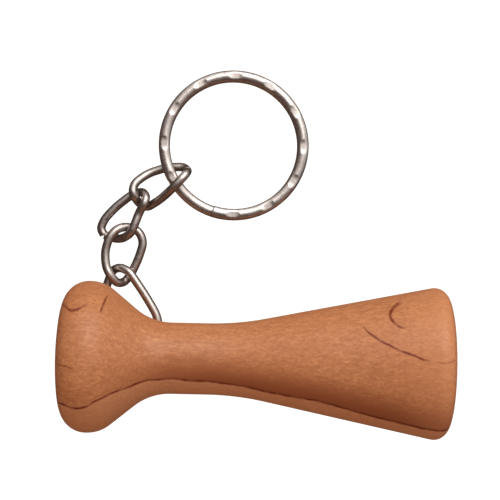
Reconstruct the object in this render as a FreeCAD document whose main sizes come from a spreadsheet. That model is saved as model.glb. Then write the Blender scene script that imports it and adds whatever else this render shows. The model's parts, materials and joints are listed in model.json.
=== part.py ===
import FreeCAD, Part
import math
import os
import Sketcher
from FreeCAD import Placement, Rotation, Vector

# A keychain whose charm is a small turned wooden ear trumpet, lying on a table with its chain and split ring.
# Frame: the origin is on the trumpet's turning axis, where its bore opens in the ear plate. +X runs along
# that axis towards the bell and +Z is up. The trumpet lies on its two rims, so the table is one rim radius
# below.

# ------------------------------------------------------------------------------------ driving dimensions
SIZES = (
    ("horn_length", "61", "ear plate face to bell face"),
    ("ear_dia", "24", "largest diameter of the ear plate"),
    ("ear_edge", "4", "rounding of the ear plate's outer edge"),
    ("ear_depth", "6.2", "ear plate face to the shoulder"),
    ("shoulder_round", "5.5", "rounding where the plate turns into the flare"),
    ("flare_depth", "7.8", "shoulder to the point where the flare meets the neck"),
    ("flare_round", "9", "hollow curve between flare and neck"),
    ("neck_dia", "11.3", "slimmest diameter"),
    ("neck_end", "27.6", "ear plate face to the start of the long cone"),
    ("cone_round", "45", "hollow curve between neck and cone"),
    ("bell_dia", "24", "largest diameter of the bell"),
    ("bell_edge", "2.2", "rounding of the bell's outer edge"),
    ("bore_dia", "4", "sound bore"),
    ("bore_depth", "30", "ear plate face to the throat of the bell"),
    ("mouth_dia", "18.4", "bell's hollow at its face"),
    ("eye_place", "12.2", "ear plate face to the screw eye"),
    ("eye_lean", "21", "lean of the screw eye from straight down, in degrees"),
    ("eye_turn", "-27", "turn of the eye about its shank, in degrees"),
    ("eye_wire", "1", "wire diameter of the screw eye"),
    ("eye_hole", "2.3", "inside diameter of the eye"),
    ("eye_reach", "4.7", "neck surface to the middle of the eye"),
    ("shank_depth", "2.4", "length of the screw eye's shank in the wood"),
    ("shank_gap", "0.02", "radial gap round the shank"),
    ("link_wire", "1.45", "wire diameter of the four links"),
    ("drawn_wire", "1.45", "wire diameter that the links' bends and insides are given for"),
    ("drawn_plate", "24", "ear plate diameter that the eye link's outer corner is given for"),
    ("link_gap", "0.15", "gap between wires that cross"),
    ("cut_gap", "0.12", "gap between the two cut ends of a link"),
    ("base_reach", "6.9", "screw eye to the eye link's outer corner, along X"),
    ("tip_reach", "13.65", "turning axis to the eye link's tip"),
    ("tip_back", "4.5", "screw eye to the eye link's tip, along X"),
    ("lower_inside", "8.2", "inside length of the lower link"),
    ("lower_width", "4.65", "inside width of the lower link"),
    ("lower_heading", "87.5", "way the lower link points, in degrees from +X"),
    ("upper_inside", "8.27", "inside length of the upper link"),
    ("upper_width", "3.75", "inside width of the upper link"),
    ("upper_heading", "58.3", "way the upper link points"),
    ("last_inside", "8.9", "inside length of the link at the ring"),
    ("last_width", "3.75", "inside width of the link at the ring"),
    ("last_heading", "24.3", "way the link at the ring points"),
    ("ring_dia", "25", "outside diameter of the split ring"),
    ("ring_width", "1.9", "radial width of the ring's flat wire"),
    ("ring_layer", "1.15", "thickness of one turn of the ring"),
    ("ring_slit", "0.05", "slit between the ring's two turns"),
    ("ring_corner", "0.42", "rounding of the ring wire's corners"),
    ("ramp_start", "210", "where the wire leaves its lower turn, in degrees round the ring"),
    ("ramp_angle", "43", "angle over which the ring's wire crosses between turns"),
    ("ring_hook", "2.3", "how far the last link reaches inside the ring"),
    ("ring_heading", "32", "way from the last link to the ring's middle, in degrees from +X"),
    # what follows from them
    ("neck_start", "=ear_depth + flare_depth", "where the flare's straight meets the neck"),
    ("shoulder_turn", "=atan((ear_dia - neck_dia) / 2 / flare_depth)", "turn from the plate to the flare"),
    ("shoulder_fit", "=0.98 * (ear_depth - ear_edge) / tan(shoulder_turn / 2)", "largest shoulder rounding"),
    ("shoulder_fillet", "=min(shoulder_round; shoulder_fit)", "shoulder rounding, limited by the plate"),
    ("cone_reach", "=horn_length - bell_edge - neck_end", "cone start to the centre of the bell's edge"),
    ("cone_rise", "=bell_dia / 2 - bell_edge - neck_dia / 2", "neck surface to that centre"),
    ("cone_slope", "=atan(cone_rise / cone_reach) + asin(bell_edge / sqrt(cone_rise ^ 2 + cone_reach ^ 2))",
     "slope of the cone, which is tangent to the bell's edge"),
    ("cone_top", "=neck_dia / 2 + (horn_length - neck_end) * tan(cone_slope)", "cone's radius at its face"),
    ("eye_radius", "=neck_dia / 2 + eye_reach", "turning axis to the middle of the eye"),
    ("pilot_bottom", "=neck_dia / 2 - shank_depth", "turning axis to the bottom of the pilot hole"),
)

doc = FreeCAD.newDocument("keychain")
sheet = doc.addObject("Spreadsheet::Sheet", "sizes")
for row, (alias, content, note) in enumerate(SIZES, start=1):
    sheet.set(f"A{row}", content)
    sheet.set(f"B{row}", note)
    sheet.setAlias(f"A{row}", alias)
    doc.recompute()


def size(alias):
    """The value that the sheet gives a dimension, in mm or degrees."""
    value = sheet.get(alias)
    return float(getattr(value, "Value", value))


# ------------------------------------------------------------------------------------ helpers for bodies
def new_body(name):
    """An empty body whose label is its node's name."""
    body = doc.addObject("PartDesign::Body", f"{name}_solid")
    body.Label = name
    return body


def new_sketch(body, name, role):
    """A sketch on one of a body's own origin planes."""
    sketch = body.newObject("Sketcher::SketchObject", name)
    plane = next(feature for feature in body.Origin.OriginFeatures if feature.Role == role)
    sketch.AttachmentSupport = (plane, [""])
    sketch.MapMode = "FlatFace"
    return sketch


def outline(sketch, corners):
    """A closed outline of straight runs. A corner is (name, x, y), and x and y are the sheet's formulas."""
    origin_point, across_axis, up_axis = (-1, 1), -1, -2
    places = [[float(sheet.evalExpression(formula)) for formula in corner[1:]] for corner in corners]
    for number, start in enumerate(places):
        end = places[(number + 1) % len(places)]
        sketch.addGeometry(Part.LineSegment(Vector(*start, 0), Vector(*end, 0)), False)
    for number, (name, across, up) in enumerate(corners):
        sketch.addConstraint(Sketcher.Constraint("Coincident", number, 2, (number + 1) % len(places), 1))
        x, y = places[number]
        if across == "0":
            sketch.addConstraint(Sketcher.Constraint("PointOnObject", number, 1, up_axis))
        else:
            pin = sketch.addConstraint(Sketcher.Constraint("DistanceX", *origin_point, number, 1, x))
            sketch.renameConstraint(pin, f"{name}_x")
            sketch.setExpression(f"Constraints.{name}_x", bound(across))
        if up == "0":
            sketch.addConstraint(Sketcher.Constraint("PointOnObject", number, 1, across_axis))
        else:
            pin = sketch.addConstraint(Sketcher.Constraint("DistanceY", *origin_point, number, 1, y))
            sketch.renameConstraint(pin, f"{name}_y")
            sketch.setExpression(f"Constraints.{name}_y", bound(up))
    doc.recompute()


def bound(formula):
    """A formula of the sheet's aliases, written so that any object of the document can use it."""
    for alias, _, _ in sorted(SIZES, key=lambda entry: -len(entry[0])):
        formula = formula.replace(alias, f"<<sizes>>.{alias}") if f".{alias}" not in formula else formula
    return formula


def round_edge(body, name, radius_alias, place_x, place_radius):
    """Rounds the circular edge about X that lies at the given place."""
    before = body.Tip
    names = []
    for number, edge in enumerate(before.Shape.Edges, start=1):
        curve = edge.Curve
        if isinstance(curve, Part.Circle):
            if abs(curve.Center.x - place_x) < 0.01 and abs(curve.Radius - place_radius) < 0.01:
                names.append(f"Edge{number}")
    fillet = body.newObject("PartDesign::Fillet", name)
    fillet.Base = (before, names)
    fillet.setExpression("Radius", f"<<sizes>>.{radius_alias}")
    body.Tip = fillet
    doc.recompute()


# ------------------------------------------------------------------------------------ the wooden trumpet
horn = new_body("horn_body")
# the body is turned about the axis, so that its own -Z is the way the screw eye goes in
horn.Placement = Placement(Vector(0, 0, 0), Rotation(Vector(1, 0, 0), size("eye_lean")))

profile = new_sketch(horn, "turned_profile", "XZ_Plane")
outline(profile, (
    ("axis_start", "0", "0"),
    ("ear_rim", "0", "ear_dia / 2"),
    ("shoulder", "ear_depth", "ear_dia / 2"),
    ("neck_near", "neck_start", "neck_dia / 2"),
    ("neck_far", "neck_end", "neck_dia / 2"),
    ("bell_rim", "horn_length", "cone_top"),
    ("axis_end", "horn_length", "0"),
))
turned = horn.newObject("PartDesign::Revolution", "turned")
turned.Profile = profile
turned.ReferenceAxis = (profile, ["H_Axis"])
turned.Angle = 360
horn.Tip = turned
doc.recompute()

round_edge(horn, "ear_rounding", "ear_edge", 0, size("ear_dia") / 2)
round_edge(horn, "shoulder_rounding", "shoulder_fillet", size("ear_depth"), size("ear_dia") / 2)
round_edge(horn, "flare_hollow", "flare_round", size("neck_start"), size("neck_dia") / 2)
round_edge(horn, "cone_hollow", "cone_round", size("neck_end"), size("neck_dia") / 2)
round_edge(horn, "bell_rounding", "bell_edge", size("horn_length"), size("cone_top"))
solid_volume = horn.Shape.Volume

hollow = new_sketch(horn, "hollow_profile", "XZ_Plane")
outline(hollow, (
    ("bore_axis_start", "0", "0"),
    ("bore_start", "0", "bore_dia / 2"),
    ("throat", "bore_depth", "bore_dia / 2"),
    ("mouth", "horn_length", "mouth_dia / 2"),
    ("bore_axis_end", "horn_length", "0"),
))
bored = horn.newObject("PartDesign::Groove", "bored")
bored.Profile = hollow
bored.ReferenceAxis = (hollow, ["H_Axis"])
bored.Angle = 360
horn.Tip = bored
doc.recompute()
bored_volume = horn.Shape.Volume

pilot = new_sketch(horn, "pilot_circle", "XY_Plane")
pilot.AttachmentOffset = Placement(Vector(0, 0, -size("pilot_bottom")), Rotation())
pilot.setExpression("AttachmentOffset.Base.z", "-<<sizes>>.pilot_bottom")
pilot_radius = size("eye_wire") / 2 + size("shank_gap")
pilot.addGeometry(Part.Circle(Vector(size("eye_place"), 0, 0), Vector(0, 0, 1), pilot_radius), False)
pilot.addConstraint(Sketcher.Constraint("PointOnObject", 0, 3, -1))
pilot.addConstraint(Sketcher.Constraint("DistanceX", -1, 1, 0, 3, size("eye_place")))
pilot.renameConstraint(1, "place")
pilot.setExpression("Constraints.place", "<<sizes>>.eye_place")
pilot.addConstraint(Sketcher.Constraint("Radius", 0, pilot_radius))
pilot.renameConstraint(2, "pilot_size")
pilot.setExpression("Constraints.pilot_size", "<<sizes>>.eye_wire / 2 + <<sizes>>.shank_gap")
doc.recompute()
drilled = horn.newObject("PartDesign::Pocket", "drilled")
drilled.Profile = pilot
drilled.Type = "ThroughAll"
horn.Tip = drilled
doc.recompute()
drilled_volume = horn.Shape.Volume
print(f"horn: turned {solid_volume:.0f}, bored {bored_volume:.0f}, drilled {drilled_volume:.1f} mm3")

# ------------------------------------------------------------------------------------ the screw eye
# It is built upright with its shank along -Z of the trumpet's leaned frame, and placed with the same lean.
eye_loop = doc.addObject("Part::Torus", "eye_loop")
eye_loop.setExpression("Radius1", "(<<sizes>>.eye_hole + <<sizes>>.eye_wire) / 2")
eye_loop.setExpression("Radius2", "<<sizes>>.eye_wire / 2")
eye_loop.Placement = Placement(Vector(0, 0, 0), Rotation(Vector(0, 1, 0), 90))
eye_shank = doc.addObject("Part::Cylinder", "eye_shank")
eye_shank.setExpression("Radius", "<<sizes>>.eye_wire / 2")
eye_shank.setExpression("Height", "<<sizes>>.eye_reach + <<sizes>>.shank_depth - <<sizes>>.eye_hole / 2 "
                                  "- <<sizes>>.eye_wire")
eye_shank.setExpression("Placement.Base.z", "<<sizes>>.eye_hole / 2 + <<sizes>>.eye_wire / 2")
eye_point = doc.addObject("Part::Cone", "eye_point")
eye_point.setExpression("Radius1", "<<sizes>>.eye_wire / 2")
eye_point.Radius2 = 0.1
eye_point.setExpression("Height", "<<sizes>>.eye_wire / 2 - <<sizes>>.shank_gap")
eye_point.setExpression("Placement.Base.z", "<<sizes>>.eye_reach + <<sizes>>.shank_depth "
                                            "- <<sizes>>.eye_wire / 2")
screw_eye = doc.addObject("Part::MultiFuse", "screw_eye")
screw_eye.Shapes = [eye_loop, eye_shank, eye_point]
lean = Rotation(Vector(1, 0, 0), size("eye_lean"))
eye_centre = Vector(size("eye_place"), 0, 0) + lean.multVec(Vector(0, 0, -size("eye_radius")))
screw_eye.Placement = Placement(eye_centre, lean.multiply(Rotation(Vector(0, 0, 1), size("eye_turn"))))
doc.recompute()

# ------------------------------------------------------------------------------------ bent wire
wire = size("link_wire")
table = -max(size("ear_dia"), size("bell_dia")) / 2
crossing = wire + size("link_gap")
bend_scale = wire / size("drawn_wire")


def height(level):
    """Height of a wire's middle: level 0 lies on the table, and level 1 lies over another wire."""
    return table + wire / 2 + level * crossing


ARC_SHARE = 0.48  # how much of the shorter run an arc may take


def bent_path(corners):
    """Straight runs joined by tangent arcs, each as large as its two runs allow."""
    runs = [(after - before).Length for before, after in zip(corners, corners[1:])]
    start, edges = corners[0], []
    for number in range(1, len(corners) - 1):
        back = (corners[number - 1] - corners[number]).normalize()
        ahead = (corners[number + 1] - corners[number]).normalize()
        reach = ARC_SHARE * min(runs[number - 1], runs[number])
        half_opening = back.getAngle(ahead) / 2
        inward = (back + ahead).normalize()
        radius = reach * math.tan(half_opening)
        middle = corners[number] + inward * (radius / math.sin(half_opening) - radius)
        arc_start, arc_end = corners[number] + back * reach, corners[number] + ahead * reach
        edges.append(Part.LineSegment(start, arc_start).toShape())
        edges.append(Part.Arc(arc_start, middle, arc_end).toShape())
        start = arc_end
    edges.append(Part.LineSegment(start, corners[-1]).toShape())
    return Part.Wire(edges)


def bent_link(name, corners):
    """A link of round wire bent along a loop of corners, which starts and ends at the wire's cut."""
    half_gap = size("cut_gap") / 2
    first = corners[0] + (corners[1] - corners[0]).normalize() * half_gap
    last = corners[0] + (corners[-1] - corners[0]).normalize() * half_gap
    path = bent_path([first, *corners[1:], last])
    section = Part.Wire(Part.Circle(first, corners[1] - corners[0], wire / 2).toShape())
    solid = path.makePipeShell([section], True, False)
    link = doc.addObject("Part::Feature", name)
    link.Shape = solid
    expected = math.pi * wire ** 2 / 4 * path.Length
    print(f"{name}: {path.Length:.1f} mm of wire, volume {solid.Volume:.2f} for {expected:.2f}")
    return link


def heading(prefix):
    """Level unit vectors along a link or the ring, and to its left."""
    angle = math.radians(size(f"{prefix}_heading"))
    return Vector(math.cos(angle), math.sin(angle), 0), Vector(-math.sin(angle), math.cos(angle), 0)


def link_corners(near, prefix, bends):
    """Corners of a link in place, and its far end. A bend is (end, along, aside, level): along is measured
    inward from the near or the far end, and aside is a share of half the link's width, positive to the
    left. A link of thicker wire grows all over, so it still goes through its neighbours."""
    length = size(f"{prefix}_inside") * bend_scale + wire
    half_width = (size(f"{prefix}_width") * bend_scale + wire) / 2
    ahead, left = heading(prefix)
    corners = []
    for end, along, aside, level in bends:
        inward = along * bend_scale
        forward = inward if end == "near" else length - inward
        place = near + ahead * forward + left * (aside * half_width)
        corners.append(Vector(place.x, place.y, height(level)))
    return corners, near + ahead * length


# The link through the screw eye is a rounded triangle. Its straight base side goes through the eye. Shares of
# the base are measured from its outer corner to the middle of the eye.
CUT_SHARE = 0.45
BASE_OVERRUN = 1.27
eye_level = (eye_centre.z - height(0)) / crossing
eye_outer = size("eye_hole") / 2 + size("eye_wire")
clear_of_plate = size("ear_dia") / 2 + wire / 2 + 2 * size("link_gap")
plate_clearance = math.sqrt(clear_of_plate ** 2 - height(0) ** 2)
plate_scale = size("ear_dia") / size("drawn_plate")
base_left = Vector(eye_centre.x - size("base_reach"), plate_clearance * plate_scale, height(0))
base = eye_centre - base_left
tip = Vector(eye_centre.x - size("tip_back"), size("tip_reach"), 0)
sides = (
    (eye_centre.x - 7.6, base_left.y + 1.8, 0),
    (tip.x - 1.4, tip.y - 0.1, 0),
    (tip.x, tip.y + 0.45, 0.5),
    (tip.x + 1.6, tip.y - 0.2, 1),
    (tip.x + 4.4, tip.y - 4.1, 1.1),
    (eye_centre.x + eye_outer - 0.15, eye_centre.y + 2.4, 1.2 * eye_level),
    (eye_centre.x + eye_outer + 0.1, eye_centre.y, 1.3 * eye_level),
)
eye_link = bent_link("eye_link", [
    base_left + base * CUT_SHARE,
    base_left,
    *(Vector(x, y, height(level)) for x, y, level in sides),
    base_left + base * BASE_OVERRUN,
])

lower_corners, lower_far = link_corners(
    Vector(tip.x + 0.2, tip.y - 2.3 * bend_scale, 0), "lower", (
        ("near", 1.5, -0.47, 0),
        ("near", 4.2, -0.84, 0),
        ("far", 2.55, -1.07, 0),
        ("far", 0.75, -0.80, 0),
        ("far", 0.0, -0.18, 0.1),
        ("far", 0.5, 0.38, 0.75),
        ("far", 1.9, 0.75, 1),
        ("far", 4.45, 0.97, 1),
        ("near", 2.7, 0.84, 1.1),
        ("near", 1.25, 0.57, 1.2),
        ("near", 0.05, 0.2, 0.75),
        ("near", 0.2, -0.15, 0.15),
    ))
lower_link = bent_link("lower_link", lower_corners)

ahead, left = heading("lower")
upper_corners, upper_far = link_corners(
    lower_far - ahead * (crossing + 0.87 * bend_scale) + left * 2.1 * bend_scale, "upper", (
        ("near", 0.0, 0.58, 0),
        ("near", 0.75, -0.46, 0),
        ("near", 2.75, -0.87, 1.1),
        ("near", 4.5, -0.75, 1.15),
        ("far", 3.3, -0.58, 1),
        ("far", 1.6, -0.57, 1.4),
        ("far", 0.45, -0.42, 1.1),
        ("far", 0.1, 0.02, 0.15),
        ("far", 1.05, 0.35, 0.05),
        ("far", 2.0, 0.57, 0),
        ("far", 4.8, 0.95, 0),
        ("near", 2.2, 1.12, 0),
        ("near", 0.6, 1.0, 0),
    ))
upper_link = bent_link("upper_link", upper_corners)

# The last link is twisted, so that it stands up where it goes through the ring.
ahead, left = heading("upper")
ring_stack = 2 * size("ring_layer") + size("ring_slit")
over_ring = 1 + (ring_stack + 2 * size("link_gap")) / crossing
last_corners, last_far = link_corners(
    upper_far - (ahead * 1.4 - left * 0.8) * bend_scale, "last", (
        ("far", 0.55, 0.04, 1.4),
        ("far", 0.5, 0.16, 0.55),
        ("far", 0.95, 0.47, 0.08),
        ("far", 3.3, 0.85, 0),
        ("far", 6.9, 0.99, 0.05),
        ("near", 0.8, 0.70, 0.75),
        ("near", -0.1, 0.1, 1.35),
        ("near", 0.25, -0.6, 0.3),
        ("near", 1.15, -1.02, 0),
        ("near", 3.9, -0.92, 1.1),
        ("far", 3.8, -0.62, over_ring),
        ("far", 1.85, -0.3, over_ring),
        ("far", 0.8, -0.09, over_ring - 0.35),
    ))
ring_link = bent_link("ring_link", last_corners)

# ------------------------------------------------------------------------------------ the split ring
# Two flat turns of one wire. The wire leaves the upper turn, crosses the ramp and goes on as the lower turn.
RAMP_STEPS = 6
ramp_start, ramp_angle = size("ramp_start"), size("ramp_angle")
half_pitch = (size("ring_layer") + size("ring_slit")) / 2
middle_radius = (size("ring_dia") - size("ring_width")) / 2


def ring_section(angle, lift):
    """The wire's cross-section at an angle round the ring, as a closed wire: a bar with rounded corners."""
    half_width, half_layer = size("ring_width") / 2, size("ring_layer") / 2
    corner = size("ring_corner")
    slant = corner * (1 - math.sqrt(0.5))
    turn = Rotation(Vector(0, 0, 1), angle)

    def place(across, up):
        return turn.multVec(Vector(middle_radius + across, 0, lift + up))

    edges = []
    for side, top in ((1, 1), (-1, 1), (-1, -1), (1, -1)):
        upright = (side * half_width, top * (half_layer - corner))
        diagonal = (side * (half_width - slant), top * (half_layer - slant))
        level = (side * (half_width - corner), top * half_layer)
        ends = (upright, level) if side * top > 0 else (level, upright)
        edges.append((ends[0], diagonal, ends[1]))
    shapes = []
    for number, (start, middle, end) in enumerate(edges):
        following = edges[(number + 1) % 4][0]
        shapes.append(Part.Arc(place(*start), place(*middle), place(*end)).toShape())
        shapes.append(Part.LineSegment(place(*end), place(*following)).toShape())
    return Part.Wire(shapes)


turns = []
for lift in (half_pitch, -half_pitch):
    section = Part.Face(ring_section(ramp_start + ramp_angle, lift))
    turns.append(section.revolve(Vector(0, 0, 0), Vector(0, 0, 1), 360 - ramp_angle))
ramp_sections = []
for step in range(RAMP_STEPS + 1):
    lift = half_pitch * math.cos(math.pi * step / RAMP_STEPS)
    ramp_sections.append(ring_section(ramp_start + ramp_angle * step / RAMP_STEPS, lift))
ramp = Part.makeLoft(ramp_sections, True, False)
split_ring = doc.addObject("Part::Feature", "split_ring")
split_ring.Shape = turns[0].fuse([turns[1], ramp])
# it leans on the last link and touches the table on its far side
toward, aside = heading("ring")
ring_centre = last_far + toward * (size("ring_dia") / 2 - size("ring_width") - size("ring_hook"))
lean_angle = math.degrees(math.asin(crossing / (size("ring_dia") - size("ring_width"))))
ring_centre.z = (table + size("ring_dia") / 2 * math.sin(math.radians(lean_angle))
                 + ring_stack / 2 * math.cos(math.radians(lean_angle)))
split_ring.Placement = Placement(ring_centre, Rotation(aside, lean_angle))
doc.recompute()
print(f"split_ring: volume {split_ring.Shape.Volume:.1f}, solids {len(split_ring.Shape.Solids)}")

# ------------------------------------------------------------------------------------ checks and files
for thing in doc.Objects:
    if {"Invalid", "Error"} & set(thing.State):
        raise RuntimeError(f"{thing.Label} failed: {thing.State}")
if not drilled_volume < bored_volume < solid_volume:
    raise RuntimeError("a hollow of the trumpet cuts nothing")

pieces = (horn, screw_eye, eye_link, lower_link, upper_link, ring_link, split_ring)
for piece in pieces:
    shape = piece.Shape
    if shape.isNull() or not shape.isValid() or len(shape.Solids) != 1:
        raise RuntimeError(f"{piece.Label} isn't one valid solid")

os.makedirs("parts", exist_ok=True)
for piece in pieces:
    piece.Shape.exportStep(f"parts/{piece.Label}.step")
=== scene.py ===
# %% [markdown]
# # A wooden ear trumpet keychain
# The object is a small turned charm on a short chain of four open links, with a two-turn split ring for the
# keys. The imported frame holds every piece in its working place. This lesson gives each piece a finer mesh in
# the same place, and a finish that shows how it was made. We begin by loading the frame and keeping its size.

# %% Load the frame
import json
import math

import bmesh
import bpy
from mathutils import Matrix, Vector


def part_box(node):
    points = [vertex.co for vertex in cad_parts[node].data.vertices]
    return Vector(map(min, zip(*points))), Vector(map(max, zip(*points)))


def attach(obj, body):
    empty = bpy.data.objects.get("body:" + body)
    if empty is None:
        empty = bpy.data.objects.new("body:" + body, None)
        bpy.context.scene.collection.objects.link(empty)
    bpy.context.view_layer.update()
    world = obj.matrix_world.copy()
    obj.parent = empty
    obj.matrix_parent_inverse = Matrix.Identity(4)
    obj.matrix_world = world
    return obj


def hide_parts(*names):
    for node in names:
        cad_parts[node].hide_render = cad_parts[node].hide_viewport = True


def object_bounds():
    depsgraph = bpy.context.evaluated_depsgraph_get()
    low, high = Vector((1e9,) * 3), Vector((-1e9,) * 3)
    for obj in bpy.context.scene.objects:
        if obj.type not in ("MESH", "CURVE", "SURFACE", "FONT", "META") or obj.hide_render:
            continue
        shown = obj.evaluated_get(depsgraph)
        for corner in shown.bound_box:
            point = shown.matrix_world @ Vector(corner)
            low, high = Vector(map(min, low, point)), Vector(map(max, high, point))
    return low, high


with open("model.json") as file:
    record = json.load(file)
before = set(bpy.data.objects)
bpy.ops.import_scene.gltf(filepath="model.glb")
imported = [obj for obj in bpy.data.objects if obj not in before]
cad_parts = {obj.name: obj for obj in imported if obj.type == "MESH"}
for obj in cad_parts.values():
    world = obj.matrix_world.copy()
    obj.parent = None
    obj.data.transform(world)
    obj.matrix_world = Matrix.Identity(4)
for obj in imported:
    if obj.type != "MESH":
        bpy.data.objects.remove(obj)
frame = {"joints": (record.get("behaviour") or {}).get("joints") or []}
frame_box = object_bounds()
joints = {joint["name"]: joint for joint in frame["joints"]}

# %% [markdown]
# ## Places that the frame gives
# A keychain lies on a table, so the table is the lowest point of the frame. The eye and the ring turn about
# known points, and the frame holds these as joints. They are read here, so the eye and the ring stay in their
# places if the frame is packed again.

# %% Read places from the frame
MM = 0.001
horn_low, horn_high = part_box("horn_body")
HORN_LENGTH = horn_high.x - horn_low.x
RIM_RADIUS = (horn_high.y - horn_low.y) / 2
TABLE = -RIM_RADIUS
eye_centre = Vector(joints["eye_link_swing"]["pos_m"])
ring_centre = Vector(joints["ring_turn"]["pos_m"])
ring_axis = Vector(joints["ring_turn"]["axis"]).normalized()
print(f"trumpet {HORN_LENGTH / MM:.1f} mm long, rims {2 * RIM_RADIUS / MM:.1f} mm across")

# %% [markdown]
# ## Two helpers that bend things
# A turner's profile and a link's wire have the same nature: straight runs joined by arcs that touch both. The
# spin operator can make both. With an angle it sweeps an arc, and with a step and no angle it pushes
# straight on. So one helper carries any start, a single point or a whole wire section, along a run, and
# another carries it round a corner.

# %% Helpers for runs and arcs
WELD, PROFILE_WELD = 0.0004 * MM, 0.001 * MM


def push(bm, geom, shift, steps=1):
    """Carries geometry straight on, and returns where it ends."""
    made = bmesh.ops.spin(bm, geom=geom, cent=(0, 0, 0), axis=(0, 0, 1), dvec=shift / steps, angle=0,
                          steps=steps, use_duplicate=False)
    return made["geom_last"]


def turn_corner(bm, geom, corner, arrive, leave, reach, steps):
    """Carries geometry round an arc that touches both runs, reach before and after the corner."""
    half_opening = (-arrive).angle(leave) / 2
    radius = reach * math.tan(half_opening)
    cent = corner + (leave - arrive).normalized() * (radius / math.sin(half_opening))
    made = bmesh.ops.spin(bm, geom=geom, cent=cent, axis=arrive.cross(leave).normalized(), dvec=(0, 0, 0),
                          angle=arrive.angle(leave), steps=steps, use_duplicate=False)
    return made["geom_last"]


def finish_mesh(bm, name, smooth=True):
    """Cleans a mesh, points its faces outwards and puts it in the scene at the origin."""
    bmesh.ops.remove_doubles(bm, verts=bm.verts, dist=WELD)
    bmesh.ops.recalc_face_normals(bm, faces=bm.faces)
    for face in bm.faces:
        face.smooth = smooth
    open_edges = sum(1 for edge in bm.edges if not edge.is_manifold)
    mesh = bpy.data.meshes.new(name)
    bm.to_mesh(mesh)
    bm.free()
    piece = bpy.data.objects.new(name, mesh)
    bpy.context.scene.collection.objects.link(piece)
    print(f"{name}: {len(mesh.polygons)} faces, {open_edges} open edges")
    return piece


# %% [markdown]
# ## The turned trumpet
# The real charm is turned from one beech blank: a domed ear plate, a slim neck and a long flaring bell, with
# a bore right through. A lathe piece is a profile turned about its axis, so it is drawn as one closed line
# and spun. The line starts in the bore, goes out over the ear plate, along the outside to the bell and back
# down its mouth. Each rounding is an arc that touches its two neighbours, as a gouge leaves it.

# %% Draw and turn the trumpet
RUN_STEP, ARC_STEP = 0.8 * MM, 0.45 * MM
NECK_RADIUS = 5.65 * MM
BORE_RADIUS = 2 * MM
MOUTH_RADIUS = 9.2 * MM
THROAT = 30 * MM
BELL_EDGE = 2.2 * MM
NECK_END = 27.6 * MM
cone_reach = HORN_LENGTH - BELL_EDGE - NECK_END
cone_rise = RIM_RADIUS - BELL_EDGE - NECK_RADIUS
cone_slope = math.atan(cone_rise / cone_reach) + math.asin(BELL_EDGE / math.hypot(cone_rise, cone_reach))
cone_top = NECK_RADIUS + (HORN_LENGTH - NECK_END) * math.tan(cone_slope)
LIP = 0.35 * MM

# each corner is (along the axis, radius, rounding)
TURNED_CORNERS = (
    (0, BORE_RADIUS, LIP),
    (0, RIM_RADIUS, 4 * MM),
    (6.2 * MM, RIM_RADIUS, 5.5 * MM),
    (14 * MM, NECK_RADIUS, 9 * MM),
    (NECK_END, NECK_RADIUS, 45 * MM),
    (HORN_LENGTH, cone_top, BELL_EDGE),
    (HORN_LENGTH, MOUTH_RADIUS, LIP),
    (THROAT, BORE_RADIUS, 20 * MM),
)


def turned_profile(bm, corners):
    """Draws a closed profile of runs and arcs in the upright plane, starting half way along its last run."""
    points = [Vector((along, 0, radius)) for along, radius, _ in corners]
    start = (points[-1] + points[0]) / 2
    geom = [bm.verts.new(start)]
    here = start
    for number, (_, _, rounding) in enumerate(corners):
        corner, following = points[number], points[(number + 1) % len(points)]
        arrive, leave = (corner - here).normalized(), (following - corner).normalized()
        reach = rounding / math.tan((-arrive).angle(leave) / 2)
        arc_start = corner - arrive * reach
        run_steps = max(1, round((arc_start - here).length / RUN_STEP))
        geom = push(bm, geom, arc_start - here, run_steps)
        arc_steps = max(4, round(rounding * arrive.angle(leave) / ARC_STEP))
        geom = turn_corner(bm, geom, corner, arrive, leave, reach, arc_steps)
        here = corner + leave * reach
    push(bm, geom, start - here, round((start - here).length / RUN_STEP))
    bmesh.ops.remove_doubles(bm, verts=bm.verts, dist=PROFILE_WELD)


TURNED_STEPS = 160
bm = bmesh.new()
turned_profile(bm, TURNED_CORNERS)
profile_geom = list(bm.verts) + list(bm.edges)
bmesh.ops.spin(bm, geom=profile_geom, cent=(0, 0, 0), axis=(1, 0, 0), dvec=(0, 0, 0), angle=2 * math.pi,
               steps=TURNED_STEPS, use_merge=True, use_duplicate=False)
turned_trumpet = finish_mesh(bm, "turned_trumpet")
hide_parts("horn_body")

# %% [markdown]
# ## Bent wire
# The eye, the links and the ring are all bent from wire. A wire is a small circle carried along its path,
# with its two cut ends closed and slightly broken at the edge, as snips leave them. The circle starts square
# to the first run, and every arc keeps it square.

# %% Helper for bent wire
ARC_SHARE = 0.48
WIRE_SIDES = 28
DEGREES_PER_STEP = 5
SNIP_CHAMFER = 0.07 * MM


def wire_section(bm, centre, ahead, radius):
    """A wire's section, square to the way ahead."""
    facing = ahead.to_track_quat("Z", "Y").to_matrix().to_4x4()
    made = bmesh.ops.create_circle(bm, segments=WIRE_SIDES, radius=radius,
                                   matrix=Matrix.Translation(centre) @ facing)
    edges = list({edge for vert in made["verts"] for edge in vert.link_edges})
    return made["verts"] + edges


def cap_ends(bm, chamfer):
    """Closes a wire's two open ends and breaks their edges."""
    open_edges = [edge for edge in bm.edges if edge.is_boundary]
    caps = bmesh.ops.holes_fill(bm, edges=open_edges, sides=0)["faces"]
    rims = list({edge for face in caps for edge in face.edges})
    bmesh.ops.bevel(bm, geom=rims, offset=chamfer, affect="EDGES", segments=2, profile=0.5, material=-1)


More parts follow.
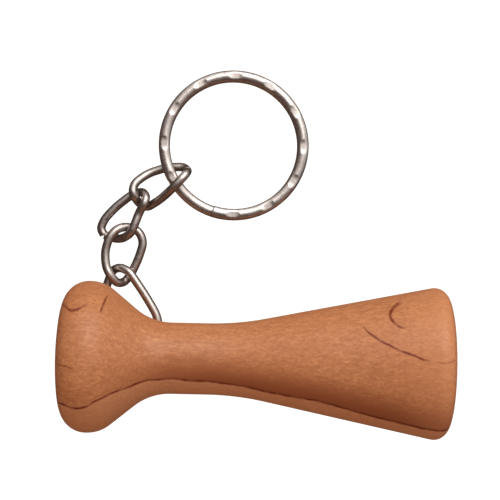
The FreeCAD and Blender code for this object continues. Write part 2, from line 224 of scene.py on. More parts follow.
def bend_wire(name, corners, radius):
    """Carries a wire's section along runs and arcs. Each arc takes a share of the shorter of its two runs."""
    runs = [(after - before).length for before, after in zip(corners, corners[1:])]
    bm = bmesh.new()
    here = corners[0]
    geom = wire_section(bm, here, (corners[1] - here).normalized(), radius)
    for number in range(1, len(corners) - 1):
        corner = corners[number]
        arrive = (corner - corners[number - 1]).normalized()
        leave = (corners[number + 1] - corner).normalized()
        reach = ARC_SHARE * min(runs[number - 1], runs[number])
        geom = push(bm, geom, corner - arrive * reach - here, 2)
        steps = max(3, round(math.degrees(arrive.angle(leave)) / DEGREES_PER_STEP))
        geom = turn_corner(bm, geom, corner, arrive, leave, reach, steps)
        here = corner + leave * reach
    push(bm, geom, corners[-1] - here, 2)
    bmesh.ops.remove_doubles(bm, verts=bm.verts, dist=WELD)
    cap_ends(bm, SNIP_CHAMFER)
    return finish_mesh(bm, name)


# %% [markdown]
# ## The screw eye
# The chain is fixed to the neck with the smallest screw eye that is sold: 1 mm wire with a ring of about
# 2 mm inside, whose tail is turned into a pilot hole. On the real one the wire comes down the shank, goes
# almost all the way round and stops against itself. Here a straight push makes the shank and one long arc
# makes the eye under it. The thread is all inside the wood, so it is left out.

# %% Bend the screw eye
EYE_WIRE = 0.5 * MM
EYE_RADIUS = 1.65 * MM
EYE_LEAN, EYE_TURN = math.radians(21), math.radians(-27)
EYE_FACING = Matrix.Rotation(EYE_LEAN, 4, "X") @ Matrix.Rotation(EYE_TURN, 4, "Z")
EYE_PLACE = Matrix.Translation(eye_centre) @ EYE_FACING
EYE_TURNS, EYE_STEPS, EYE_CHAMFER = math.radians(-345), 69, 0.08 * MM
SHANK_TOP = 6.4 * MM

bm = bmesh.new()
section = wire_section(bm, Vector((0, 0, SHANK_TOP)), Vector((0, 0, -1)), EYE_WIRE)
eye_top = Vector((0, 0, EYE_RADIUS))
section = push(bm, section, eye_top + Vector((0, 0, EYE_WIRE)) - Vector((0, 0, SHANK_TOP)), 8)
cap_ends(bm, EYE_CHAMFER)
loop = wire_section(bm, eye_top, Vector((0, 1, 0)), EYE_WIRE)
bmesh.ops.spin(bm, geom=loop, cent=(0, 0, 0), axis=(1, 0, 0), dvec=(0, 0, 0), angle=EYE_TURNS,
               steps=EYE_STEPS, use_duplicate=False)
cap_ends(bm, EYE_CHAMFER)
bmesh.ops.transform(bm, matrix=EYE_PLACE, verts=bm.verts)
screw_eye_bent = finish_mesh(bm, "screw_eye_bent")
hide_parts("screw_eye")

# %% [markdown]
# ## The four links
# Each link is one length of 1.45 mm wire, bent round until its two cut ends meet, and then twisted so that
# it lies on the next one. The chain is hand-laid on a table, so every link is bent and tilted a little
# differently. A corner gives how far along the link it is, how far to the side, and its level: 0 lies on
# the table, and 1 lies over another wire. The wire is carried round these corners.

# %% Helpers for the links
WIRE_RADIUS = 0.725 * MM
LINK_GAP = 0.15 * MM
CUT_GAP = 0.12 * MM
crossing = 2 * WIRE_RADIUS + LINK_GAP


def height(level):
    """Height of a wire's middle at a level."""
    return TABLE + WIRE_RADIUS + level * crossing


def heading(degrees):
    """Level unit vectors ahead and to the left."""
    angle = math.radians(degrees)
    return Vector((math.cos(angle), math.sin(angle), 0)), Vector((-math.sin(angle), math.cos(angle), 0))


def close_link(name, node, corners):
    """Bends a link from one side of its cut to the other, in place of its node."""
    first = corners[0] + (corners[1] - corners[0]).normalized() * CUT_GAP / 2
    last = corners[0] + (corners[-1] - corners[0]).normalized() * CUT_GAP / 2
    link = bend_wire(name, [first, *corners[1:], last], WIRE_RADIUS)
    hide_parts(node)
    return link


def link_corners(near, degrees, length, width, bends):
    """Corners of a link in place, and its far end. Lengths are in mm."""
    ahead, left = heading(degrees)
    corners = []
    for end, along, aside, level in bends:
        forward = along if end == "near" else length - along
        place = near + (ahead * forward + left * aside * width / 2) * MM
        corners.append(Vector((place.x, place.y, height(level))))
    return corners, near + ahead * length * MM


# %% [markdown]
# The link through the screw eye is a rounded triangle. Its straight side goes through the eye, and the
# other two sides meet over the table, where the next link goes round its point.

# %% Bend the link at the eye
CUT_SHARE, BASE_OVERRUN = 0.45, 1.27
eye_level = (eye_centre.z - height(0)) / crossing
plate_clearance = RIM_RADIUS + WIRE_RADIUS + 2 * LINK_GAP
outer_corner = Vector((eye_centre.x - 6.9 * MM, math.sqrt(plate_clearance ** 2 - height(0) ** 2), height(0)))
base_side = eye_centre - outer_corner
tip = Vector((eye_centre.x - 4.5 * MM, 13.65 * MM, 0))
eye_link_sides = (
    (eye_centre.x - 7.6 * MM, outer_corner.y + 1.8 * MM, 0),
    (tip.x - 1.4 * MM, tip.y - 0.1 * MM, 0),
    (tip.x, tip.y + 0.45 * MM, 0.5),
    (tip.x + 1.6 * MM, tip.y - 0.2 * MM, 1),
    (tip.x + 4.4 * MM, tip.y - 4.1 * MM, 1.1),
    (eye_centre.x + 2.0 * MM, eye_centre.y + 2.4 * MM, 1.2 * eye_level),
    (eye_centre.x + 2.25 * MM, eye_centre.y, 1.3 * eye_level),
)
eye_link_bent = close_link("eye_link_bent", "eye_link", [
    outer_corner + base_side * CUT_SHARE,
    outer_corner,
    *(Vector((x, y, height(level))) for x, y, level in eye_link_sides),
    outer_corner + base_side * BASE_OVERRUN,
])

# %% [markdown]
# The next two links are plain ovals. Where one passes over its neighbour it rises a level, and at its ends
# it dips back to the table, so each is slightly twisted like the links of a curb chain.

# %% Bend the lower and the upper link
LOWER_HEADING, UPPER_HEADING = 87.5, 58.3
lower_near = tip + Vector((0.2, -2.3, 0)) * MM
lower_corners, lower_far = link_corners(lower_near, LOWER_HEADING, 9.65, 6.1, (
    ("near", 1.5, -0.47, 0),
    ("near", 4.2, -0.84, 0),
    ("far", 2.55, -1.07, 0),
    ("far", 0.75, -0.80, 0),
    ("far", 0.0, -0.18, 0.1),
    ("far", 0.5, 0.38, 0.75),
    ("far", 1.9, 0.75, 1),
    ("far", 4.45, 0.97, 1),
    ("near", 2.7, 0.84, 1.1),
    ("near", 1.25, 0.57, 1.2),
    ("near", 0.05, 0.2, 0.75),
    ("near", 0.2, -0.15, 0.15),
))
lower_link_bent = close_link("lower_link_bent", "lower_link", lower_corners)

ahead, left = heading(LOWER_HEADING)
upper_near = lower_far - ahead * (crossing + 0.87 * MM) + left * 2.1 * MM
upper_corners, upper_far = link_corners(upper_near, UPPER_HEADING, 9.72, 5.2, (
    ("near", 0.0, 0.58, 0),
    ("near", 0.75, -0.46, 0),
    ("near", 2.75, -0.87, 1.1),
    ("near", 4.5, -0.75, 1.15),
    ("far", 3.3, -0.58, 1),
    ("far", 1.6, -0.57, 1.4),
    ("far", 0.45, -0.42, 1.1),
    ("far", 0.1, 0.02, 0.15),
    ("far", 1.05, 0.35, 0.05),
    ("far", 2.0, 0.57, 0),
    ("far", 4.8, 0.95, 0),
    ("near", 2.2, 1.12, 0),
    ("near", 0.6, 1.0, 0),
))
upper_link_bent = close_link("upper_link_bent", "upper_link", upper_corners)

# %% [markdown]
# The last link is twisted so much that it stands up where it goes through the split ring. Its upper side
# passes over both turns of the ring, and its cut is at the tip, inside the ring.

# %% Bend the link at the ring
RING_LAYER, RING_SLIT = 1.15 * MM, 0.05 * MM
ring_stack = 2 * RING_LAYER + RING_SLIT
over_ring = 1 + (ring_stack + 2 * LINK_GAP) / crossing
LAST_HEADING = 24.3
ahead, left = heading(UPPER_HEADING)
last_near = upper_far - ahead * 1.4 * MM + left * 0.8 * MM
last_corners, _ = link_corners(last_near, LAST_HEADING, 10.35, 5.2, (
    ("far", 0.55, 0.04, 1.4),
    ("far", 0.5, 0.16, 0.55),
    ("far", 0.95, 0.47, 0.08),
    ("far", 3.3, 0.85, 0),
    ("far", 6.9, 0.99, 0.05),
    ("near", 0.8, 0.70, 0.75),
    ("near", -0.1, 0.1, 1.35),
    ("near", 0.25, -0.6, 0.3),
    ("near", 1.15, -1.02, 0),
    ("near", 3.9, -0.92, 1.1),
    ("far", 3.8, -0.62, over_ring),
    ("far", 1.85, -0.3, over_ring),
    ("far", 0.8, -0.09, over_ring - 0.35),
))
ring_link_bent = close_link("ring_link_bent", "ring_link", last_corners)

# %% [markdown]
# ## The split ring
# A split ring is one wire wound twice. It starts with a cut end on the upper turn, goes nearly all the way
# round, dips under its own start and goes round again below. This one is rolled to a low crown and has
# flats pressed across the crown every twelfth of a turn, which catch the light. One spin makes each turn
# and one spin with a downward step makes the crossing, so the wire is one unbroken skin. The flats are then
# pressed into the upper turn by holding its crown down to a shallow scoop.

# %% Wind the split ring
RING_RADIUS = 11.55 * MM
RING_HALF_WIDTH, RING_HALF_LAYER = 0.93 * MM, RING_LAYER / 2
HALF_PITCH = (RING_LAYER + RING_SLIT) / 2
RAMP_START, RAMP_ANGLE = math.radians(210), math.radians(43)
TURN_ANGLE = 2 * math.pi - RAMP_ANGLE
RING_STEPS, RAMP_STEPS = 634, 86
CROWN_POWER, RING_CHAMFER = 1.15, 0.18 * MM
UP = Vector((0, 0, 1))


def ring_wire(bm):
    """One wire wound twice round the upright axis, from the cut end of its upper turn."""
    start = RAMP_START + RAMP_ANGLE
    outward = Vector((math.cos(start), math.sin(start), 0))
    onward = UP.cross(outward)
    section = wire_section(bm, Vector((0, 0, 0)), onward, 1)
    for vert in section[:WIRE_SIDES]:
        across, up = vert.co.dot(outward), vert.co.dot(UP)
        across = math.copysign(abs(across) ** CROWN_POWER, across) * RING_HALF_WIDTH
        up = math.copysign(abs(up) ** CROWN_POWER, up) * RING_HALF_LAYER
        vert.co = outward * (RING_RADIUS + across) + UP * (HALF_PITCH + up)
    for angle, drop, steps in ((TURN_ANGLE, 0, RING_STEPS), (RAMP_ANGLE, 2 * HALF_PITCH, RAMP_STEPS),
                               (TURN_ANGLE, 0, RING_STEPS)):
        made = bmesh.ops.spin(bm, geom=section, cent=(0, 0, 0), axis=UP, dvec=-UP * drop / steps,
                              angle=angle, steps=steps, use_duplicate=False)
        section = made["geom_last"]


FLAT_EVERY = math.radians(30)
FLAT_HALF_LENGTH = 1.2 * MM / RING_RADIUS
FLAT_DEPTH = 0.15 * MM
crown_top = HALF_PITCH + RING_HALF_LAYER


def press_flats(bm):
    """Presses a shallow scoop into the crown of the upper turn every twelfth of a turn."""
    for vert in bm.verts:
        if vert.co.z < crown_top - 1.5 * FLAT_DEPTH:
            continue
        angle = math.atan2(vert.co.y, vert.co.x)
        off = abs(angle - FLAT_EVERY * round(angle / FLAT_EVERY)) / FLAT_HALF_LENGTH
        plain = RAMP_START + FLAT_HALF_LENGTH < angle % (2 * math.pi) < RAMP_START + RAMP_ANGLE
        if off < 1 and not plain:
            vert.co.z = min(vert.co.z, crown_top - FLAT_DEPTH * (1 - off ** 3))


bm = bmesh.new()
ring_wire(bm)
press_flats(bm)
bmesh.ops.remove_doubles(bm, verts=bm.verts, dist=WELD)
cap_ends(bm, RING_CHAMFER)
lean = UP.rotation_difference(ring_axis).to_matrix().to_4x4()
bmesh.ops.transform(bm, matrix=Matrix.Translation(ring_centre) @ lean, verts=bm.verts)
split_ring_wound = finish_mesh(bm, "split_ring_wound")
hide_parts("split_ring")

# %% [markdown]
# ## Nodes in a few words
# A finish is a small graph of nodes. These helpers add a node with its settings, do one sum, and stretch
# noise over the wood's own coordinates, so that each finish below reads as a recipe.

# %% Helpers for finishes
def new_finish(name):
    """A material with only its output and a shader."""
    material = bpy.data.materials.new(name)
    material.use_nodes = True
    tree = material.node_tree
    return material, tree, tree.nodes["Principled BSDF"]


def add(tree, kind, inputs=(), **settings):
    """A node with its settings, and values or links for its inputs by name or number."""
    made = tree.nodes.new(kind)
    for key, value in settings.items():
        setattr(made, key, value)
    for key, value in dict(inputs).items():
        if isinstance(value, bpy.types.NodeSocket):
            tree.links.new(value, made.inputs[key])
        else:
            made.inputs[key].default_value = value
    return made


def total(tree, operation, first, second=0.0, third=0.0, clamp=False):
    """One sum."""
    inputs = {0: first, 1: second, 2: third} if operation == "MULTIPLY_ADD" else {0: first, 1: second}
    return add(tree, "ShaderNodeMath", inputs, operation=operation, use_clamp=clamp).outputs[0]


def between(tree, value, low, high, to_low=0.0, to_high=1.0):
    """A value remapped smoothly from one span to another, and held at its ends."""
    spans = {"Value": value, "From Min": low, "From Max": high, "To Min": to_low, "To Max": to_high}
    made = add(tree, "ShaderNodeMapRange", spans, interpolation_type="SMOOTHSTEP")
    return made.outputs["Result"]


def stretched_noise(tree, coords, stretch, detail=2.0, roughness=0.5, shift=(0, 0, 0)):
    """Noise whose cells are 1 / stretch metres long each way."""
    mapping = add(tree, "ShaderNodeMapping", {"Vector": coords, "Scale": stretch, "Location": shift})
    noise = add(tree, "ShaderNodeTexNoise", {"Vector": mapping.outputs[0], "Scale": 1.0, "Detail": detail,
                                             "Roughness": roughness})
    return noise.outputs["Fac"]


def blend(tree, factor, first, second):
    """Two colours mixed."""
    made = add(tree, "ShaderNodeMix", {0: factor, 6: first, 7: second}, data_type="RGBA")
    return made.outputs[2]


# %% [markdown]
# ## Sealed beech
# Steamed beech is a warm orange tan, almost without figure, with fine dark flecks a millimetre long that run
# with the grain. What stands out on this piece are a few thin red-brown veins, where a dark sheet between
# two years' wood meets the surface. A sheet like that is flat along the log's depth and wanders along its
# length, so it is a curve drawn over the trumpet's length and pushed straight down through the wood. Just
# above the long vein, on the side away from the lamp, painted shade darkens the wood slowly towards the vein,
# most towards the bell, and stops sharply at it, as late wood does.

# %% Helper for one dark vein
def vein(tree, along, across, points, width, start, end):
    """Darkness of a vein, and how far above it the surface is, in rim widths. Points are given in mm."""
    drawn = tree.nodes.new("ShaderNodeFloatCurve")
    curve = drawn.mapping.curves[0]
    scaled = [(x * MM / HORN_LENGTH, 0.5 + y * MM / (2 * RIM_RADIUS)) for x, y in points]
    curve.points[0].location = scaled[0]
    curve.points[1].location = scaled[-1]
    for place in scaled[1:-1]:
        curve.points.new(*place)
    drawn.mapping.update()
    tree.links.new(along, drawn.inputs["Value"])
    above = total(tree, "SUBTRACT", across, drawn.outputs[0])
    line = between(tree, total(tree, "ABSOLUTE", above), width * 0.25, width, 1.0, 0.0)
    begins = between(tree, along, (start - 0.3) * MM / HORN_LENGTH, (start + 0.2) * MM / HORN_LENGTH)
    ends = between(tree, along, (end - 1) * MM / HORN_LENGTH, (end + 1) * MM / HORN_LENGTH, 1.0, 0.0)
    return total(tree, "MULTIPLY", line, total(tree, "MULTIPLY", begins, ends)), above


# %% [markdown]
# The recipe for the wood has layers: the tan itself in two tones, broad soft clouds, fine flecks, the veins,
# painted shade above the long vein, painted light at the bell end, and end grain on both faces, which drinks
# more finish and so is darker. The seal is satin, with the pores just showing, so roughness and bump both
# follow the flecks.

# %% Mix the beech
LONG_VEIN = ((0, -6.4), (1.2, -6.6), (2.8, -6.95), (4.6, -6.9), (6.6, -5.85), (9.8, -4.4), (15, -2.9),
             (19.8, -3.0), (26.6, -3.45), (32.3, -4.4), (40.5, -5.75), (50, -8.0), (57.6, -9.5), (61, -9.6))
BELL_VEIN = ((0, 9), (44, 8.2), (46.9, 6.1), (47.9, 5.0), (51.6, 3.1), (55.2, 1.75), (57.2, 1.35),
             (58.6, 1.2), (60.4, 1.5), (61, 1.7))
HEAD_VEIN = ((0, 8.9), (1.4, 8.15), (2.3, 7.75), (4.4, 8.5), (6, 9.4), (61, 10))
DASH_VEIN = ((0, -0.2), (1, -0.38), (3.2, -0.8), (61, -1))
VEIN_BROWN = (0.13, 0.013, 0.001, 1)
TAN_DEEP, TAN_PALE, TAN_CLOUD = (0.385, 0.148, 0.056, 1), (0.50, 0.210, 0.090, 1), (0.45, 0.170, 0.064, 1)
MOTTLE_BROWN, FLECK_BROWN = (0.27, 0.085, 0.032, 1), (0.24, 0.078, 0.035, 1)
# PAINTED_SHADE_BROWN is the deep brown of the painted shade above the long vein.
PAINTED_SHADE_BROWN, PALE_FIBRE = (0.235, 0.062, 0.018, 1), (0.60, 0.29, 0.150, 1)
# BELL_PAINTED_LIGHT is the pale tan of the painted light at the bell end.
BELL_PAINTED_LIGHT, LOWER_TONE = (0.56, 0.245, 0.115, 1), (0.48, 0.225, 0.120, 1)
END_DEEP, END_PALE = (0.21, 0.068, 0.028, 1), (0.42, 0.165, 0.075, 1)


def mix_beech():
    """The sealed beech of the trumpet."""
    material, tree, shader = new_finish("sealed_beech")
    texture = tree.nodes.new("ShaderNodeTexCoord")
    coords = texture.outputs["Object"]
    split = add(tree, "ShaderNodeSeparateXYZ", {0: coords})
    x, y, z = split.outputs
    wander = stretched_noise(tree, coords, (300, 300, 300), detail=3.0)
    wander = total(tree, "SUBTRACT", wander, 0.5)
    along = total(tree, "DIVIDE", x, HORN_LENGTH, clamp=True)
    tilted = total(tree, "MULTIPLY_ADD", wander, 0.7 * MM, y)
    across = total(tree, "MULTIPLY_ADD", tilted, 1 / (2 * RIM_RADIUS), 0.5)

    clouds = stretched_noise(tree, coords, (60, 140, 140), detail=3.0)
    streaks = stretched_noise(tree, coords, (420, 1500, 1500), detail=4.0, roughness=0.6)
    tan = blend(tree, between(tree, streaks, 0.30, 0.70), TAN_DEEP, TAN_PALE)
    tan = blend(tree, between(tree, clouds, 0.35, 0.7, 0.0, 0.5), tan, TAN_CLOUD)
    mottle = stretched_noise(tree, coords, (1500, 2600, 2600), detail=3.0, roughness=0.65, shift=(1, 4, 2))
    tan = blend(tree, between(tree, mottle, 0.36, 0.64, 0.42, 0.0), tan, MOTTLE_BROWN)
    fleck = stretched_noise(tree, coords, (1100, 4200, 4200), detail=2.0)
    fleck = between(tree, fleck, 0.56, 0.70)
    tan = blend(tree, total(tree, "MULTIPLY", fleck, 0.35), tan, FLECK_BROWN)
    pale = stretched_noise(tree, coords, (900, 2600, 2600), shift=(3, 1, 2))
    pale = between(tree, pale, 0.60, 0.74, 0.0, 0.28)
    tan = blend(tree, pale, tan, PALE_FIBRE)

    long_line, above = vein(tree, along, across, LONG_VEIN, 0.0115, -2, 60.5)
    # painted shade: a band just above the long vein, on the side away from the lamp, is darkened to a deep
    # brown, most towards the bell
    painted_shade = between(tree, above, 0.0, 0.24, 1.0, 0.0)
    painted_shade = total(tree, "MULTIPLY", painted_shade, total(tree, "GREATER_THAN", above, 0.0))
    painted_shade = total(tree, "MULTIPLY", painted_shade, between(tree, along, 0.08, 0.4, 0.15, 1.0))
    tan = blend(tree, painted_shade, tan, PAINTED_SHADE_BROWN)
    # painted light: the last part of the bell, on the lamp's side, is made paler, as if it caught more light
    painted_bell_light = between(tree, along, 0.84, 0.98, 0.0, 0.30)
    tan = blend(tree, painted_bell_light, tan, BELL_PAINTED_LIGHT)
    below = total(tree, "LESS_THAN", above, 0.0)
    tan = blend(tree, total(tree, "MULTIPLY", below, 0.40), tan, LOWER_TONE)

    bell_line, _ = vein(tree, along, across, BELL_VEIN, 0.0125, 47.0, 56.2)
    faint_line, _ = vein(tree, along, across, BELL_VEIN, 0.011, 57.6, 62)
    bell_line = total(tree, "MULTIPLY_ADD", faint_line, 0.45, bell_line)
    head_line, _ = vein(tree, along, across, HEAD_VEIN, 0.014, -2, 4.4)
    dash_line, _ = vein(tree, along, across, DASH_VEIN, 0.010, -2, 3.0)
    right_way_up = between(tree, z, -1 * MM, 2 * MM)
    hook = hook_line(tree, x, tilted)
    stroke = stroke_line(tree, x, tilted)
    dark = total(tree, "MAXIMUM", bell_line, total(tree, "MAXIMUM", head_line, dash_line))
    dark = total(tree, "MAXIMUM", dark, total(tree, "MAXIMUM", hook, stroke))
    dark = total(tree, "MULTIPLY", dark, right_way_up)
    dark = total(tree, "MAXIMUM", dark, long_line)
    broken = between(tree, stretched_noise(tree, coords, (700, 700, 700), detail=2.0), 0.3, 0.6, 0.55, 1.0)
    dark = total(tree, "MULTIPLY", dark, total(tree, "MULTIPLY", broken, 0.94))
    tan = blend(tree, dark, tan, VEIN_BROWN)

    facing = add(tree, "ShaderNodeSeparateXYZ", {0: texture.outputs["Normal"]})
    end_grain = between(tree, total(tree, "ABSOLUTE", facing.outputs[0]), 0.55, 1.0, 0.0, 0.75)
    pores = stretched_noise(tree, coords, (700, 2300, 2300), detail=3.0, roughness=0.7)
    end_tone = blend(tree, between(tree, pores, 0.4, 0.62), END_DEEP, END_PALE)
    tan = blend(tree, end_grain, tan, end_tone)
    tree.links.new(tan, shader.inputs["Base Color"])

    rough = between(tree, fleck, 0.0, 1.0, 0.50, 0.62)
    rough = total(tree, "MULTIPLY_ADD", end_grain, 0.2, rough)
    tree.links.new(rough, shader.inputs["Roughness"])
    shader.inputs["Specular IOR Level"].default_value = 0.34
    shader.inputs["Coat Weight"].default_value = 0.03
    shader.inputs["Coat Roughness"].default_value = 0.35
    relief = total(tree, "MULTIPLY_ADD", streaks, 0.6, total(tree, "MULTIPLY", fleck, -0.5))
    relief = total(tree, "MULTIPLY_ADD", dark, -0.8, relief)
    bump = add(tree, "ShaderNodeBump", {"Strength": 0.25, "Distance": 0.016 * MM, "Height": relief})
    tree.links.new(bump.outputs[0], shader.inputs["Normal"])
    return material


# %% [markdown]
# Two marks don't run along the grain: a small hook near the bell, where a vein bends back round a pin knot,
# and a short slanting stroke on the ear plate. The hook is part of a ring about its own centre, open
# towards the bell, and the stroke is a short straight line.

# %% Helpers for the hook and the stroke
HOOK_CENTRE = (53.9, 7.85)
HOOK_REACH = (2.85, 1.9)
STROKE_FROM, STROKE_TO = (6.75, 7.3), (7.45, 10.1)


def hook_line(tree, x, y):
    """Darkness of the hook: the left part of an oval ring."""
    right = total(tree, "DIVIDE", total(tree, "SUBTRACT", x, HOOK_CENTRE[0] * MM), HOOK_REACH[0] * MM)
    up = total(tree, "DIVIDE", total(tree, "SUBTRACT", y, HOOK_CENTRE[1] * MM), HOOK_REACH[1] * MM)
    out = total(tree, "SQRT", total(tree, "ADD", total(tree, "POWER", total(tree, "ABSOLUTE", right), 2.0),
                                    total(tree, "POWER", total(tree, "ABSOLUTE", up), 2.0)))
    off = total(tree, "ABSOLUTE", total(tree, "SUBTRACT", out, 1.0))
    line = between(tree, off, 0.03, 0.14, 1.0, 0.0)
    return total(tree, "MULTIPLY", line, between(tree, right, -0.6, -0.08, 1.0, 0.0))


def stroke_line(tree, x, y):
    """Darkness of the short stroke."""
    lean_right = (STROKE_TO[0] - STROKE_FROM[0]) / (STROKE_TO[1] - STROKE_FROM[1])
    from_start = total(tree, "SUBTRACT", y, STROKE_FROM[1] * MM)
    centre = total(tree, "MULTIPLY_ADD", from_start, lean_right, STROKE_FROM[0] * MM)
    off = total(tree, "ABSOLUTE", total(tree, "SUBTRACT", x, centre))
    line = between(tree, off, 0.03 * MM, 0.28 * MM, 0.95, 0.0)
    starts = between(tree, y, STROKE_FROM[1] * MM, (STROKE_FROM[1] + 0.6) * MM)
    stops = between(tree, y, (STROKE_TO[1] - 0.4) * MM, STROKE_TO[1] * MM, 1.0, 0.0)
    return total(tree, "MULTIPLY", line, total(tree, "MULTIPLY", starts, stops))


# %% [markdown]
# ## Nickel plate
# The chain and the ring are steel wire with a thin nickel plate, a warm grey metal. New plate is a mirror;
# this one has been carried, so it has fine scuffs that blur the reflection in places and a brown tarnish
# that stays in the hollows. The links were tumbled before plating and are duller than the ring. So one recipe
# takes its colour, its blur and its tarnish as values, and three finishes come from it.

# %% Mix the nickel
TARNISH_BROWN, SCUFF_PALE = (0.15, 0.10, 0.085, 1), (0.74, 0.70, 0.65, 1)


def mix_nickel(name, colour, blur, tarnish):
    """Worn nickel plate."""
    material, tree, shader = new_finish(name)
    coords = tree.nodes.new("ShaderNodeTexCoord").outputs["Object"]
    patches = stretched_noise(tree, coords, (420, 420, 420), detail=4.0, roughness=0.6)
    scuffs = stretched_noise(tree, coords, (2600, 2600, 2600), detail=3.0, roughness=0.65, shift=(5, 2, 1))
    brown = between(tree, patches, 0.46, 0.72, 0.0, tarnish)
    tone = blend(tree, brown, colour, TARNISH_BROWN)
    tone = blend(tree, between(tree, scuffs, 0.35, 0.65, 0.0, 0.2), tone, SCUFF_PALE)
    tree.links.new(tone, shader.inputs["Base Color"])
    rough = between(tree, scuffs, 0.3, 0.7, blur, blur + 0.14)
    rough = total(tree, "MULTIPLY_ADD", brown, 0.25, rough)
    tree.links.new(rough, shader.inputs["Roughness"])
    shader.inputs["Metallic"].default_value = 1.0
    relief = total(tree, "MULTIPLY_ADD", patches, 1.5, scuffs)
    bump = add(tree, "ShaderNodeBump", {"Strength": 0.14, "Distance": 0.015 * MM, "Height": relief})
    tree.links.new(bump.outputs[0], shader.inputs["Normal"])
    return material


link_nickel = mix_nickel("link_nickel", (0.46, 0.405, 0.38, 1), 0.27, 0.5)
ring_nickel = mix_nickel("ring_nickel", (0.55, 0.49, 0.465, 1), 0.28, 0.35)
eye_nickel = mix_nickel("eye_nickel", (0.58, 0.53, 0.46, 1), 0.24, 0.45)
sealed_beech = mix_beech()

# %% [markdown]
# ## Finishes and bodies
# Each piece gets its finish and rides on the body that carries it, so that the chain can be moved link by
# link.
# The table also names each piece's slot in the record, which is not used here.

# %% Give each piece its finish and its body
PIECES = (
    (turned_trumpet, "horn", "turned_wood", sealed_beech),
    (screw_eye_bent, "horn", "eye_plating", eye_nickel),
    (eye_link_bent, "eye_link", "link_plating", link_nickel),
    (lower_link_bent, "lower_link", "link_plating", link_nickel),
    (upper_link_bent, "upper_link", "link_plating", link_nickel),
    (ring_link_bent, "ring_link", "link_plating", link_nickel),
    (split_ring_wound, "split_ring", "ring_plating", ring_nickel),
)
for piece, body, slot, finish in PIECES:
    piece.data.materials.append(finish)
    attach(piece, body)
    print(f"{piece.name} rides on {body}, finish {finish.name}")

# %% [markdown]
# ## Sheet and light
# A small product is shown over a white sheet. This sheet glows a little where the camera sees it and is dim
# in reflections. It is well below the keychain, so it takes no shadow, and the chain is still in sight when
# it swings down from the neck.

# %% Lay the sheet
SHEET_REACH, SHEET_DROP, SHEET_GLOW = 8.0, 60 * MM, 0.87
SHEET_LIT, SHEET_MIRRORED = (0.66, 0.48, 0.38, 1), (0.075, 0.058, 0.051, 1)


def mix_sheet():
    """A white sheet whose reflections are kept dim."""
    material, tree, shader = new_finish("white_sheet")
    output = tree.nodes["Material Output"]
    shader.inputs["Base Color"].default_value = (0.25, 0.25, 0.25, 1)
    shader.inputs["Roughness"].default_value = 0.9
    shader.inputs["Emission Color"].default_value = (1, 1, 1, 1)
    shader.inputs["Emission Strength"].default_value = SHEET_GLOW
    path = tree.nodes.new("ShaderNodeLightPath")
    bounced = blend(tree, path.outputs["Is Glossy Ray"], SHEET_LIT, SHEET_MIRRORED)
    dim = add(tree, "ShaderNodeBsdfDiffuse", {"Color": bounced})
    mixed = add(tree, "ShaderNodeMixShader", {0: path.outputs["Is Camera Ray"], 1: dim.outputs[0],
                                              2: shader.outputs[0]})
    tree.links.new(mixed.outputs[0], output.inputs["Surface"])
    return material


bm = bmesh.new()
bmesh.ops.create_grid(bm, x_segments=2, y_segments=2, size=SHEET_REACH,
                      matrix=Matrix.Translation((0, 0, TABLE - SHEET_DROP)))
sheet = finish_mesh(bm, "white_sheet", smooth=False)
sheet.data.materials.append(mix_sheet())

# %% [markdown]
# One big soft lamp hangs high, beyond the ring and a little to the right, so the side towards the lamp is
# clear and the other side falls into brown shadow. Plated wire shows mostly what is round it, so the room
# matters as much as the lamp: it is pale towards the lamp and dark brown behind.

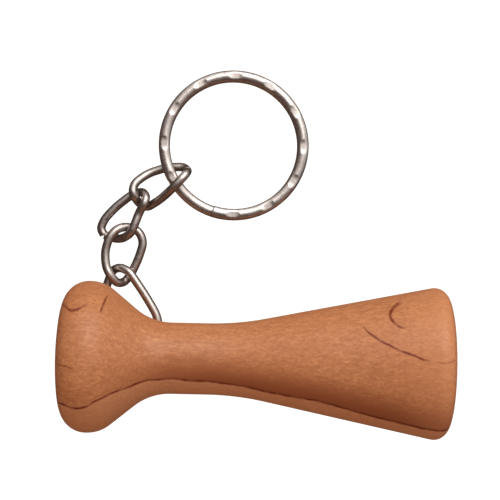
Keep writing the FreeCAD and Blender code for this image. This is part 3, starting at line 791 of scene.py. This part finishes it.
# %% Hang the lamp and paint the room
middle = Vector((frame_box[0][0] + frame_box[1][0], frame_box[0][1] + frame_box[1][1], 0)) / 2
LAMP_WAY = Vector((0.28, 0.66, 0.70)).normalized()
LAMP_DISTANCE, LAMP_SIZE, LAMP_POWER = 0.42, 0.28, 1.36
PALE_WAY = (0.40, 0.76, 0.50)
ROOM_PALE, ROOM_SEEN = (1.0, 0.985, 0.96, 1), (0.93, 0.93, 0.93, 1)
ROOM_SHADE, ROOM_MIRRORED = (0.76, 0.52, 0.37, 1), (0.095, 0.062, 0.052, 1)
ROOM_POWER = 0.9
lamp = bpy.data.lights.new("soft_lamp", "AREA")
lamp.size = LAMP_SIZE
lamp.energy = LAMP_POWER
lamp.color = (1.0, 0.975, 0.94)
lamp_stand = bpy.data.objects.new("soft_lamp", lamp)
lamp_stand.location = middle + LAMP_WAY * LAMP_DISTANCE
lamp_stand.rotation_euler = LAMP_WAY.to_track_quat("Z", "Y").to_euler()
bpy.context.scene.collection.objects.link(lamp_stand)

room = bpy.data.worlds.new("room")
room.use_nodes = True
tree = room.node_tree
background = tree.nodes["Background"]
way = tree.nodes.new("ShaderNodeTexCoord").outputs["Generated"]
facing_lamp = add(tree, "ShaderNodeVectorMath", {0: way, 1: PALE_WAY}, operation="DOT_PRODUCT")
path = tree.nodes.new("ShaderNodeLightPath")
sharp = between(tree, facing_lamp.outputs["Value"], 0.36, 0.66)
mirrored = blend(tree, sharp, ROOM_MIRRORED, ROOM_PALE)
soft = between(tree, facing_lamp.outputs["Value"], -0.2, 0.9)
lit = blend(tree, soft, ROOM_SHADE, ROOM_PALE)
room_tone = blend(tree, path.outputs["Is Glossy Ray"], lit, mirrored)
room_tone = blend(tree, path.outputs["Is Camera Ray"], room_tone, ROOM_SEEN)
tree.links.new(room_tone, background.inputs["Color"])
background.inputs["Strength"].default_value = ROOM_POWER
bpy.context.scene.world = room

# %% [markdown]
# ## Camera
# The keychain is seen from straight above, from about 20 cm over the trumpet's axis, so the near ends of the
# trumpet look slightly larger than the ring on the table. The camera hangs over the middle of the object,
# turned by about one degree.

# %% Hang the camera
CAMERA_PLACE = Vector((29.34, 17.42, 200)) * MM
CAMERA_TURN = math.radians(1.2)
LENS, SENSOR_WIDTH = 90.72, 36
camera = bpy.data.cameras.new("camera")
camera.lens = LENS
camera.sensor_width = SENSOR_WIDTH
camera.clip_start = 0.01
camera_stand = bpy.data.objects.new("camera", camera)
camera_stand.location = CAMERA_PLACE
camera_stand.rotation_euler = (0, 0, CAMERA_TURN)
bpy.context.scene.collection.objects.link(camera_stand)
bpy.context.scene.camera = camera_stand
bpy.context.scene.view_settings.view_transform = "Standard"
